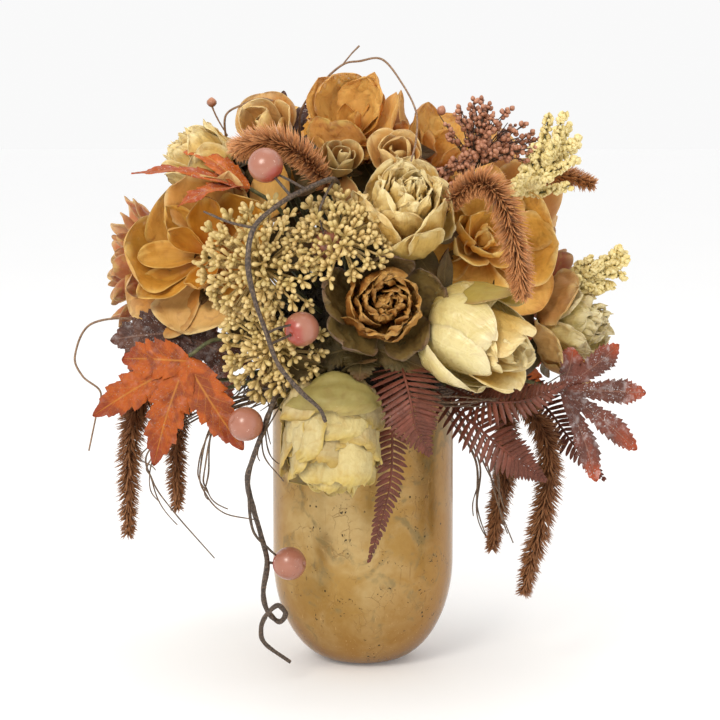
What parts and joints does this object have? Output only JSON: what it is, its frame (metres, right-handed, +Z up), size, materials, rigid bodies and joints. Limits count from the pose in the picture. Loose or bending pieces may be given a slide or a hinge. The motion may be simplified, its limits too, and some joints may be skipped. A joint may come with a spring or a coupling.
{
  "type": "floral table centerpiece",
  "caption": "Crackled gold glass vase with a rounded bottom, holding a domed autumn arrangement of magnolias, roses, leaves, ferns, foxtails, berries and curling vines.",
  "frame": {"origin": "centre of the flat foot of the vase, where it meets the table", "axes": "+Z up along the axis of the vase, -Y towards the front of the arrangement"},
  "size_m": [0.3059, 0.2411, 0.3293],
  "materials": {
    "mercury_glass": "foiled gold glass with fine crackle, opaque, satin sheen",
    "floral_foam": "dry floral foam under dark moss",
    "nest_twigs": "fine dark twigs",
    "caramel_petals": "satin petals, caramel with pale edges",
    "cream_petals": "wrinkled papery petals, cream with yellow depths",
    "tan_petals": "tan petals with purple-grey edges",
    "coral_petals": "narrow coral petals with cream tips",
    "olive_leaves": "olive leaves and sepals",
    "orange_leaves": "orange leaves with yellow veins and white frosting",
    "frosted_brown_leaves": "purple-brown leaves with glitter frosting",
    "burgundy_fern": "burgundy fronds",
    "copper_foxtail": "copper needles",
    "heather": "pale yellow florets",
    "cream_sedum": "cream florets",
    "rose_beads": "rust-rose beads on thin rays",
    "vine_bark": "dark brown bark, with coral-pink satin berries"
  },
  "bodies": {
    "root": {"amber_bud_mid": "caramel_petals", "amber_rosebud_top_left": "caramel_petals", "bead_spray_right": "rose_beads", "buckeye_leaf_back": "frosted_brown_leaves", "buckeye_leaf_right": "frosted_brown_leaves", "coral_bloom_left": "coral_petals", "coral_bloom_right": "coral_petals", "cream_rose_back_left": "cream_petals", "cream_rose_back_low": "cream_petals", "cream_rose_back_top": "cream_petals", "cream_rose_front": "cream_petals", "cream_rose_mid": "cream_petals", "cream_rose_right": "cream_petals", "cream_rose_upper_left": "cream_petals", "cream_tulip": "cream_petals", "fern_back": "burgundy_fern", "fern_far_right": "burgundy_fern", "fern_front": "burgundy_fern", "fern_hanging": "burgundy_fern", "fern_right": "burgundy_fern", "fern_right_low": "burgundy_fern", "foam": "floral_foam", "foxtail_arch": "copper_foxtail", "foxtail_back_hang": "copper_foxtail", "foxtail_back_left": "copper_foxtail", "foxtail_hang_left": "copper_foxtail", "foxtail_hang_left_inner": "copper_foxtail", "foxtail_hang_right": "copper_foxtail", "foxtail_hang_right_inner": "copper_foxtail", "foxtail_right": "copper_foxtail", "foxtail_upper_left": "copper_foxtail", "green_bud": "olive_leaves", "heather_right": "heather", "heather_right_low": "heather", "magnolia_back": "caramel_petals", "magnolia_back_right": "caramel_petals", "magnolia_left": "caramel_petals", "magnolia_right": "caramel_petals", "magnolia_top": "caramel_petals", "magnolia_top_right": "caramel_petals", "maple_leaf_back_orange": "orange_leaves", "maple_leaf_brown": "frosted_brown_leaves", "maple_leaf_orange": "orange_leaves", "maple_leaf_top": "frosted_brown_leaves", "maple_leaf_upper_left": "orange_leaves", "nest": "nest_twigs", "rose_leaves": "olive_leaves", "sedum_back": "cream_sedum", "sedum_left": "cream_sedum", "sedum_low": "cream_sedum", "sedum_mid": "cream_sedum", "tan_rose": "tan_petals", "tan_rose_back": "tan_petals", "tendril_left": "vine_bark", "tendril_top": "vine_bark", "tendril_top_left": "vine_bark", "vase": "mercury_glass", "vine_trailing": "vine_bark", "vine_twig": "vine_bark"}
  },
  "joints": []
}
